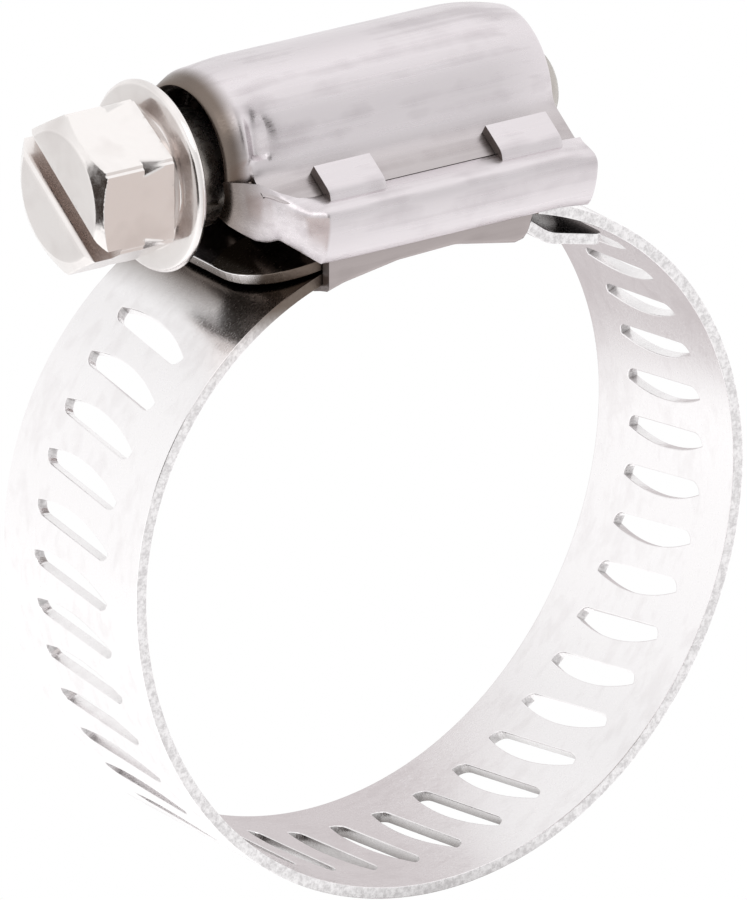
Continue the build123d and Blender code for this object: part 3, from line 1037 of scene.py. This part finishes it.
# X and radius along the screw from the back of the hexagon: washer, neck, core and tip
SCREW_PROFILE = (
    *((-15.47, 3.84), (-15.42, 3.78), (-15.12, 3.76), (-15.04, 3.84), (-15.0, 4.0)),
    *((-14.94, 4.3), (-14.90, 4.70), (-14.86, 4.98), (-14.80, 5.11), (-14.70, 5.20)),
    *((-14.57, 5.25), (-14.44, 5.22), (-14.35, 5.14), (-14.30, 5.02), (-14.30, 4.4)),
    *((-14.28, 4.3), (-14.1, 3.38), (-14.05, 3.33), (-11.9, 3.33), (-11.8, 3.0)),
    *((-11.2, 3.0), (-10.7, CORE_R), (0, CORE_R), (9.1, CORE_R), (10.4, 2.15)),
    *((10.58, 1.95), (10.6, 1.8), (10.6, 0.9)),
)
# the sleeves just outside that profile, darkened with painted shade
NECK_PROFILE = (
    *((-14.29, 4.1), (-14.16, 3.58), (-14.02, 3.37), (-13.9, 3.35), (-11.9, 3.35)),
    (-11.85, 3.3),
)
TIP_PROFILE = (
    *((8.7, 2.77), (9.12, 2.77), (10.42, 2.17), (10.6, 1.97), (10.62, 1.82)),
    (10.62, 0.01),
)
SLEEVE_STEPS = 96
DRIVER_SLOT_TILT = radians(35)
DRIVER_SLOT_HALF = 0.62
# one side of the slot, from its floor out past the end face: depth and spread of its lip
DRIVER_SLOT_SIDE = ((1.4, 0), (0.34, 0), (0.16, 0.05), (0.05, 0.16), (0, 0.32), (-1, 0.32))
DRIVER_SLOT_REACH = 7.0
THREAD_R = 3.9
THREAD_START_X = -10.6
THREAD_END_X = 8.6
THREAD_FADE = 0.9
THREAD_STEPS = 60  # for each turn


def hexagon_radius(angle):
    """Distance to the side of the hexagon, whose flats face along Y, with eased corners."""
    turn = ((degrees(angle) + 30) % 60) - 30
    sharp = HEX_FLAT_R / cos(radians(turn))
    ease = HEX_CORNER_EASE * bell(abs(turn), 30, 2)
    return min(sharp, HEX_FLAT_R / cos(radians(30)) - ease)


def head_rows():
    """Rings of the head, each as an X and a radius at every angle round the screw."""
    angles = [2 * pi * i / HEAD_STEPS for i in range(HEAD_STEPS)]
    rings = [(HEAD_END_X, lambda a, r=r: r) for r in FACE_RINGS]
    rings.append((HEAD_END_X + 0.02, lambda a: 3.54))
    rings.append((HEAD_END_X + CHAMFER_START, lambda a: FACE_R))

    def cone(x):
        return FACE_R + (x - HEAD_END_X - CHAMFER_START) * CHAMFER_SLOPE

    def heel(x):
        return HEEL_R + (x - HEEL_X) * HEEL_SLOPE if x > HEEL_X else 4.62

    x = HEAD_END_X + 0.1
    while x < HEXAGON_BACK_X:
        rings.append((x, lambda a, x=x: min(hexagon_radius(a), cone(x), heel(x))))
        x += 0.03 if x < -19.75 or -17.6 < x < -17.45 else 0.2
    rings += [(x, lambda a, r=r: r) for x, r in SCREW_PROFILE]
    return [
        [(x, radius(a) * cos(a), SCREW_Z + radius(a) * sin(a)) for a in angles]
        for x, radius in rings
    ]


def driver_slot_cutter():
    """A bar that cuts the driver slot with rolled lips, as a mesh in metres."""
    along = (cos(DRIVER_SLOT_TILT), sin(DRIVER_SLOT_TILT))
    reach = DRIVER_SLOT_REACH
    edge = [(inward, DRIVER_SLOT_HALF + spread) for inward, spread in DRIVER_SLOT_SIDE]
    loop = edge + [(inward, -aside) for inward, aside in edge[::-1]]
    rows = [
        [
            (
                HEAD_END_X + inward,
                end * along[0] - aside * along[1],
                SCREW_Z + end * along[1] + aside * along[0],
            )
            for inward, aside in loop
        ]
        for end in (-reach, reach)
    ]
    mesh = grid_mesh("driver slot", rows, tube=True)
    close_ends(mesh)
    return mesh


def build_screw():
    """The screw in one turned piece with its driver slot cut, then the sleeves and the worm."""
    body = grid_mesh("screw body", head_rows(), tube=True)
    close_ends(body)
    solid = bpy.data.objects.new("screw body", body)
    cutter = bpy.data.objects.new("driver slot", driver_slot_cutter())
    for thing in (solid, cutter):
        bpy.context.scene.collection.objects.link(thing)
    cut = solid.modifiers.new("slot", "BOOLEAN")
    cut.operation = "DIFFERENCE"
    cut.solver = "EXACT"
    cut.object = cutter
    bpy.context.view_layer.update()
    graph = bpy.context.evaluated_depsgraph_get()
    mesh = bpy.data.meshes.new_from_object(solid.evaluated_get(graph))
    for thing in (solid, cutter):
        bpy.data.objects.remove(thing)
    smooth(mesh, 32)
    piece = new_object("worm_screw", mesh, "screw", SCREW, ("screw",))
    bevelled(piece, 0.08, 2, 55)
    weighted(piece)
    build_neck()
    build_thread()


def build_neck():
    """The sleeves of the screw that show before and behind the housing, darkened with painted shade.
    """
    angles = [2 * pi * i / SLEEVE_STEPS for i in range(SLEEVE_STEPS)]
    for name, profile in (("screw_neck", NECK_PROFILE), ("screw_tip", TIP_PROFILE)):
        rows = [[(x, r * cos(a), SCREW_Z + r * sin(a)) for a in angles] for x, r in profile]
        mesh = grid_mesh(name, rows, tube=True)
        smooth(mesh, 40)
        new_object(name, mesh, "screw", NECK_SHADE_STEEL, ("screw",))


def build_thread():
    """The worm: a helical ridge that tapers away at both ends."""
    slot = min(
        (band_edges()[0] - PITCH / 2 - PITCH * i for i in range(6)),
        key=lambda distance: abs(place(distance)[0][0]),
    )
    foot_x = place(slot)[0][0]
    start, end = THREAD_START_X, THREAD_END_X
    rows = []
    count = ceil((end - start) / PITCH * THREAD_STEPS)
    for i in range(count + 1):
        x = start + (end - start) * i / count
        angle = (x - foot_x) / PITCH * 2 * pi - pi / 2
        grow = smoothstep(start, start + THREAD_FADE, x)
        grow *= 1 - smoothstep(end - THREAD_FADE, end, x)
        crest = CORE_R + (THREAD_R - CORE_R) * (0.02 + 0.98 * grow)
        flank = [(-0.66, CORE_R - 0.2), (-0.55, CORE_R + 0.02)]
        flank += [(-0.33, crest - 0.12), (-0.22, crest)]
        ridge = flank + [(-u, r) for u, r in flank[::-1]]
        rows.append([(x + u, r * cos(angle), SCREW_Z + r * sin(angle)) for u, r in ridge])
    mesh = grid_mesh("worm_thread", rows, tube=True)
    close_ends(mesh)
    smooth(mesh, 50)
    new_object("worm_thread", mesh, "screw", SCREW, ("screw",))


# ---- stage, light and camera -----------------------------------------------------------------


FLOOR_GLOW = 1.0
FLOOR_DROP = 0.0001  # below the CAD box at rest, in metres
FLOOR_HALF = 3.0
KEY_WATTS = 0.3
KEY_PLACE = (-0.25, -0.35, 0.55)
KEY_SIZE = (0.4, 0.3)
TENT_STRENGTH = 1.37
# brightness of the tent against the Y part of the direction looked in
TENT_DEPTH = (
    *((-1.0, 0.62), (-0.77, 0.72), (-0.35, 0.86), (0.02, 0.93)),
    *((0.30, 0.95), (0.77, 0.79), (1.0, 0.79)),
)
# and against its Z part
TENT_HEIGHT = (
    *((-1.0, 1.0), (-0.45, 1.0), (-0.2, 0.95), (0.1, 0.93)),
    *((0.36, 0.89), (0.56, 0.82), (0.8, 0.89)),
)


def staged(name, corners, material, hidden_from):
    """A flat sheet of the stage that some kinds of ray don't see."""
    mesh = bpy.data.meshes.new(name)
    mesh.from_pydata(corners, [], [tuple(range(len(corners)))])
    mesh.materials.append(material)
    thing = bpy.data.objects.new(name, mesh)
    bpy.context.scene.collection.objects.link(thing)
    for ray in hidden_from:
        setattr(thing, f"visible_{ray}", False)


def build_floor():
    """White enough to stay clear of shadows, as the sheet of a light table is."""
    nodes = Nodes("pale floor")
    shader = nodes.add("ShaderNodeEmission", Strength=FLOOR_GLOW)
    z, r = cad_box[0][2] - FLOOR_DROP, FLOOR_HALF
    corners = [(-r, -r, z), (r, -r, z), (r, r, z), (-r, r, z)]
    staged("floor", corners, nodes.finish(shader, "Emission"), ("glossy", "diffuse"))


def look_at(thing, place_at, target):
    thing.location = place_at
    thing.rotation_euler = (Vector(target) - Vector(place_at)).to_track_quat("-Z", "Y").to_euler()


def build_key_light():
    light = bpy.data.lights.new("key", "AREA")
    light.shape = "RECTANGLE"
    light.size, light.size_y = KEY_SIZE
    light.energy = KEY_WATTS
    holder = bpy.data.objects.new("key", light)
    bpy.context.scene.collection.objects.link(holder)
    look_at(holder, KEY_PLACE, (0, 0, 0))


def tent_ramp(tree, split, axis, stops):
    """One side-to-side shading of the tent: brightness against one part of the direction."""
    shift = tree.nodes.new("ShaderNodeMapRange")
    shift.inputs["From Min"].default_value = -1
    tree.links.new(split.outputs[axis], shift.inputs["Value"])
    ramp = tree.nodes.new("ShaderNodeValToRGB")
    while len(ramp.color_ramp.elements) < len(stops):
        ramp.color_ramp.elements.new(0.5)
    for element, (position, value) in zip(ramp.color_ramp.elements, stops):
        element.position = (position + 1) / 2
        element.color = (value, value, value, 1)
    tree.links.new(shift.outputs[0], ramp.inputs[0])
    return ramp.outputs["Color"]


def build_world():
    """A bright tent, dimmer low in front of the object and overhead behind it."""
    world = bpy.data.worlds.new("studio")
    bpy.context.scene.world = world
    world.use_nodes = True
    tree = world.node_tree
    tree.nodes.clear()
    place = tree.nodes.new("ShaderNodeTexCoord")
    split = tree.nodes.new("ShaderNodeSeparateXYZ")
    tree.links.new(place.outputs["Generated"], split.inputs[0])
    both = tree.nodes.new("ShaderNodeMix")
    both.data_type = "RGBA"
    both.blend_type = "MULTIPLY"
    both.inputs["Factor"].default_value = 1.0
    tree.links.new(tent_ramp(tree, split, "Y", TENT_DEPTH), both.inputs["A"])
    tree.links.new(tent_ramp(tree, split, "Z", TENT_HEIGHT), both.inputs["B"])
    background = tree.nodes.new("ShaderNodeBackground")
    background.inputs["Strength"].default_value = TENT_STRENGTH
    tree.links.new(both.outputs["Result"], background.inputs["Color"])
    output = tree.nodes.new("ShaderNodeOutputWorld")
    tree.links.new(background.outputs[0], output.inputs[0])


CAMERA_AZIMUTH = -34.5
CAMERA_ELEVATION = 20.8
CAMERA_DISTANCE = 1.4
CAMERA_AIM = (0.000077, -0.00342)  # the ring's centre, right of and above the view's middle
VIEW_WIDTH = 0.04016129  # seen at the distance of the object
SENSOR_WIDTH = 36.0  # in millimetres


def build_camera():
    camera = bpy.data.cameras.new("camera")
    holder = bpy.data.objects.new("camera", camera)
    bpy.context.scene.collection.objects.link(holder)
    a, e = radians(CAMERA_AZIMUTH), radians(CAMERA_ELEVATION)
    back = Vector((sin(a) * cos(e), -cos(a) * cos(e), sin(e)))
    right = Vector((cos(a), sin(a), 0))
    up = back.cross(right)
    target = Vector((0, 0, DATUM_Z * MM)) - CAMERA_AIM[0] * right - CAMERA_AIM[1] * up
    look_at(holder, target + back * CAMERA_DISTANCE, target)
    camera.sensor_fit = "HORIZONTAL"
    camera.sensor_width = SENSOR_WIDTH
    camera.lens = SENSOR_WIDTH * CAMERA_DISTANCE / VIEW_WIDTH
    camera.clip_end = 100
    bpy.context.scene.camera = holder


def card(name, corners, tone, soft=None):
    """A card that only shows in reflections, as a studio's flags do.

    `soft` gives two X places, between which the card fades in.
    """
    nodes = Nodes(name)
    shader, output = nodes.add("ShaderNodeEmission"), "Emission"
    shader.inputs["Color"].default_value = (*tone, 1)
    if soft:
        place_at = nodes.add("ShaderNodeTexCoord")
        split = nodes.add("ShaderNodeSeparateXYZ")
        nodes.link(place_at, "Object", split, 0)
        share = nodes.add("ShaderNodeMapRange")
        share.inputs["From Min"].default_value = soft[0] * MM
        share.inputs["From Max"].default_value = soft[1] * MM
        nodes.link(split, "X", share, "Value")
        clear = nodes.add("ShaderNodeBsdfTransparent")
        both = nodes.add("ShaderNodeMixShader")
        nodes.link(share, 0, both, 0)
        nodes.link(clear, 0, both, 1)
        nodes.link(shader, 0, both, 2)
        shader, output = both, 0
    corners = [spot(*corner) for corner in corners]
    hidden_from = ("camera", "diffuse", "transmission", "volume_scatter", "shadow")
    staged(name, corners, nodes.finish(shader, output), hidden_from)


def across(y, low_x, high_x, low_z, high_z):
    """Corners of a card that stands across the hose's axis."""
    return [(low_x, y, low_z), (high_x, y, low_z), (high_x, y, high_z), (low_x, y, high_z)]


GAP_FLAG_X = -14.26
GAP_FLAG_R = 5.0
NEAR_BLACK = (0.05, 0.04, 0.035)


def build_cards():
    """Each card is a painted reflection that darkens what one part of the clamp reflects; the gap
    flag is painted shade in the gap behind the washer, and the neck flag painted shade under the
    screw's neck.
    """
    disc = [radians(12 * i) for i in range(30)]
    ring = [(GAP_FLAG_X, GAP_FLAG_R * cos(a), SCREW_Z + GAP_FLAG_R * sin(a)) for a in disc]
    card("gap flag", ring, (0.03, 0.022, 0.016))
    card("neck flag", across(-0.5, -14.2, -8.6, 17.4, 22.4), (0.02, 0.016, 0.012))
    card("head flag", across(-12, -17, -8.5, 13, 23), (0.76, 0.69, 0.66))
    card("end flag", [(-40, -13, 12), (-40, 2, 12), (-40, 2, 29), (-40, -13, 29)], NEAR_BLACK)
    card("corner flag", across(-60, -22, 8, 46, 80), NEAR_BLACK)
    card("back flag", across(9, -12, 14, 19, 25), (0.28, 0.25, 0.26))
    card("ring flag", across(30, 2, 60, -32, 6), (0.64, 0.60, 0.605), soft=(1, 9.5))


build_band()
build_cap()
build_skirts()
build_plate()
build_screw()

build_floor()
build_world()
build_key_light()
build_cards()
build_camera()
bpy.context.scene.view_settings.view_transform = "Standard"
